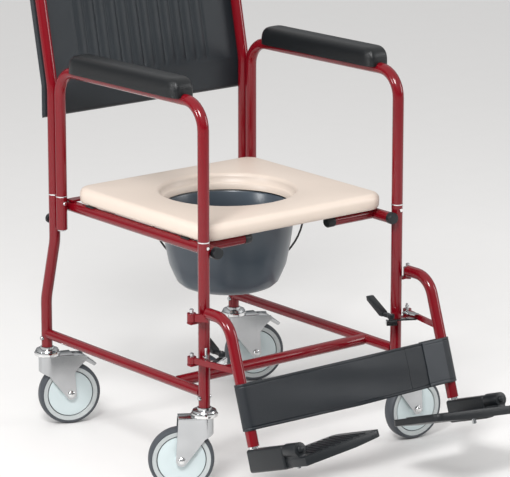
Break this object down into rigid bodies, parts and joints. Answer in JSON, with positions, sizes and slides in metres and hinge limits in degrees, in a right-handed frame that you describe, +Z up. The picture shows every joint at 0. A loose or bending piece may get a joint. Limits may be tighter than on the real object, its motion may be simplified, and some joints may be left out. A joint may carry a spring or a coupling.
{
  "type": "commode chair",
  "caption": "Wheeled steel commode chair with a holed seat board over a slide-out pail, lift-out armrests and backrest, and swing-away footrests joined by a calf strap",
  "frame": {"origin": "the middle of the chair's outline on the floor", "axes": "+Z up, -Y the way the sitter faces, +X the sitter's left-hand side seen from the front as the right"},
  "size_m": [0.6718, 0.9892, 0.9415],
  "materials": {
    "red_paint": "gloss",
    "zinc": "satin",
    "chrome": "polished",
    "wheel_plastic": "satin",
    "tyre_rubber": "matte",
    "black_plastic": "satin",
    "pad_foam": "satin",
    "vinyl": "satin",
    "seat_plastic": "satin",
    "pail_plastic": "satin",
    "wire": "satin"
  },
  "bodies": {
    "frame": {"front_post_left": "red_paint", "front_post_right": "red_paint", "rear_leg_left": "red_paint", "rear_leg_right": "red_paint", "arm_socket_left": "red_paint", "arm_socket_right": "red_paint", "seat_rail_left": "red_paint", "seat_rail_right": "red_paint", "lower_rail_left": "red_paint", "lower_rail_right": "red_paint", "front_cross_tube": "red_paint", "rear_cross_bar": "red_paint", "pail_runner_left": "zinc", "pail_runner_right": "zinc", "castor_stem_front_left": "zinc", "castor_stem_front_right": "zinc", "castor_stem_rear_left": "zinc", "castor_stem_rear_right": "zinc"},
    "fork_front_left": {"castor_fork_front_left": "zinc"},
    "fork_front_right": {"castor_fork_front_right": "zinc"},
    "fork_rear_left": {"castor_fork_rear_left": "zinc"},
    "fork_rear_right": {"castor_fork_rear_right": "zinc"},
    "wheel_front_left": {"castor_wheel_front_left": "wheel_plastic", "castor_tyre_front_left": "tyre_rubber"},
    "wheel_front_right": {"castor_wheel_front_right": "wheel_plastic", "castor_tyre_front_right": "tyre_rubber"},
    "wheel_rear_left": {"castor_wheel_rear_left": "wheel_plastic", "castor_tyre_rear_left": "tyre_rubber"},
    "wheel_rear_right": {"castor_wheel_rear_right": "wheel_plastic", "castor_tyre_rear_right": "tyre_rubber"},
    "brake_rear_left": {"castor_brake_rear_left": "zinc"},
    "brake_rear_right": {"castor_brake_rear_right": "zinc"},
    "arm_left": {"arm_tube_left": "red_paint", "arm_pad_left": "pad_foam"},
    "arm_right": {"arm_tube_right": "red_paint", "arm_pad_right": "pad_foam"},
    "button_left": {"arm_button_left": "chrome"},
    "button_right": {"arm_button_right": "chrome"},
    "back": {"back_post_left": "red_paint", "back_post_right": "red_paint", "push_grip_left": "black_plastic", "push_grip_right": "black_plastic", "back_panel": "vinyl"},
    "knob_left": {"back_knob_left": "black_plastic"},
    "knob_right": {"back_knob_right": "black_plastic"},
    "seat": {"seat_board": "seat_plastic"},
    "pail": {"pail": "pail_plastic"},
    "bail": {"pail_bail": "wire"},
    "footrest_left": {"hanger_left": "red_paint", "calf_strap_left": "vinyl"},
    "footrest_right": {"hanger_right": "red_paint", "calf_strap_right": "vinyl"},
    "latch_left": {"latch_lever_left": "black_plastic"},
    "latch_right": {"latch_lever_right": "black_plastic"},
    "slide_left": {"footrest_slide_left": "black_plastic"},
    "slide_right": {"footrest_slide_right": "black_plastic"},
    "plate_left": {"footplate_left": "black_plastic"},
    "plate_right": {"footplate_right": "black_plastic"}
  },
  "joints": [
    {"name": "castor_swivel_front_left", "type": "hinge", "parent": "frame", "child": "fork_front_left", "pos_m": [-0.2428, -0.1704, 0.15], "axis": [0, 0, 1], "continuous": true},
    {"name": "castor_swivel_front_right", "type": "hinge", "parent": "frame", "child": "fork_front_right", "pos_m": [0.2292, -0.1704, 0.15], "axis": [0, 0, 1], "continuous": true},
    {"name": "castor_swivel_rear_left", "type": "hinge", "parent": "frame", "child": "fork_rear_left", "pos_m": [-0.2428, 0.3436, 0.15], "axis": [0, 0, 1], "continuous": true},
    {"name": "castor_swivel_rear_right", "type": "hinge", "parent": "frame", "child": "fork_rear_right", "pos_m": [0.2292, 0.3436, 0.15], "axis": [0, 0, 1], "continuous": true},
    {"name": "wheel_spin_front_left", "type": "hinge", "parent": "fork_front_left", "child": "wheel_front_left", "pos_m": [-0.2797, -0.14644, 0.0625], "axis": [-0.5446, -0.8387, 0], "continuous": true},
    {"name": "wheel_spin_front_right", "type": "hinge", "parent": "fork_front_right", "child": "wheel_front_right", "pos_m": [0.27309, -0.17347, 0.0625], "axis": [0.0698, 0.9976, 0], "continuous": true},
    {"name": "wheel_spin_rear_left", "type": "hinge", "parent": "fork_rear_left", "child": "wheel_rear_left", "pos_m": [-0.20145, 0.32855, 0.0625], "axis": [0.342, 0.9397, 0], "continuous": true},
    {"name": "wheel_spin_rear_right", "type": "hinge", "parent": "fork_rear_right", "child": "wheel_rear_right", "pos_m": [0.27055, 0.32855, 0.0625], "axis": [0.342, 0.9397, 0], "continuous": true},
    {"name": "brake_pedal_rear_left", "type": "hinge", "parent": "fork_rear_left", "child": "brake_rear_left", "pos_m": [-0.19206, 0.32513, 0.137], "axis": [0.342, 0.9397, 0], "range_deg": [0, 10]},
    {"name": "brake_pedal_rear_right", "type": "hinge", "parent": "fork_rear_right", "child": "brake_rear_right", "pos_m": [0.27994, 0.32513, 0.137], "axis": [0.342, 0.9397, 0], "range_deg": [0, 10]},
    {"name": "arm_lift_left", "type": "slide", "parent": "frame", "child": "arm_left", "axis": [0, 0, 1], "range_m": [0, 0.08]},
    {"name": "arm_lift_right", "type": "slide", "parent": "frame", "child": "arm_right", "axis": [0, 0, 1], "range_m": [0, 0.08]},
    {"name": "arm_button_press_left", "type": "slide", "parent": "frame", "child": "button_left", "axis": [0, 1, 0], "range_m": [0, 0.003], "stiffness_N_per_m": 300},
    {"name": "arm_button_press_right", "type": "slide", "parent": "frame", "child": "button_right", "axis": [0, 1, 0], "range_m": [0, 0.003], "stiffness_N_per_m": 300},
    {"name": "back_lift", "type": "slide", "parent": "frame", "child": "back", "axis": [0, 0, 1], "range_m": [0, 0.08]},
    {"name": "back_knob_turn_left", "type": "hinge", "parent": "frame", "child": "knob_left", "pos_m": [-0.2428, 0.3216, 0.429], "axis": [0, 1, 0], "continuous": true},
    {"name": "back_knob_turn_right", "type": "hinge", "parent": "frame", "child": "knob_right", "pos_m": [0.2292, 0.3216, 0.429], "axis": [0, 1, 0], "continuous": true},
    {"name": "seat_lift", "type": "slide", "parent": "frame", "child": "seat", "axis": [0, 0, 1], "range_m": [0, 0.1]},
    {"name": "pail_slide", "type": "slide", "parent": "frame", "child": "pail", "axis": [0, 1, 0], "range_m": [0, 0.33]},
    {"name": "bail_swing", "type": "hinge", "parent": "pail", "child": "bail", "pos_m": [-0.0068, 0.0606, 0.455], "axis": [0.7837, -0.6211, 0], "range_deg": [0, 45]},
    {"name": "footrest_swing_left", "type": "hinge", "parent": "frame", "child": "footrest_left", "pos_m": [-0.2718, -0.1704, 0.3], "axis": [0, 0, -1], "range_deg": [0, 90]},
    {"name": "footrest_swing_right", "type": "hinge", "parent": "frame", "child": "footrest_right", "pos_m": [0.2582, -0.1704, 0.3], "axis": [0, 0, 1], "range_deg": [0, 90]},
    {"name": "latch_turn_left", "type": "hinge", "parent": "footrest_left", "child": "latch_left", "pos_m": [-0.2148, -0.1884, 0.264], "axis": [0, 0, -1], "range_deg": [0, 25]},
    {"name": "latch_turn_right", "type": "hinge", "parent": "footrest_right", "child": "latch_right", "pos_m": [0.2012, -0.1884, 0.264], "axis": [0, 0, 1], "range_deg": [0, 25]},
    {"name": "footrest_length_left", "type": "slide", "parent": "footrest_left", "child": "slide_left", "axis": [0, -0.3173, -0.9483], "range_m": [0, 0.038]},
    {"name": "footrest_length_right", "type": "slide", "parent": "footrest_right", "child": "slide_right", "axis": [0, -0.3173, -0.9483], "range_m": [0, 0.038]},
    {"name": "footplate_flip_left", "type": "hinge", "parent": "slide_left", "child": "plate_left", "pos_m": [-0.2518, -0.335, 0.113], "axis": [0, -0.9483, 0.3173], "range_deg": [0, 95]},
    {"name": "footplate_flip_right", "type": "hinge", "parent": "slide_right", "child": "plate_right", "pos_m": [0.2382, -0.335, 0.113], "axis": [0, 0.9483, -0.3173], "range_deg": [0, 95]}
  ]
}
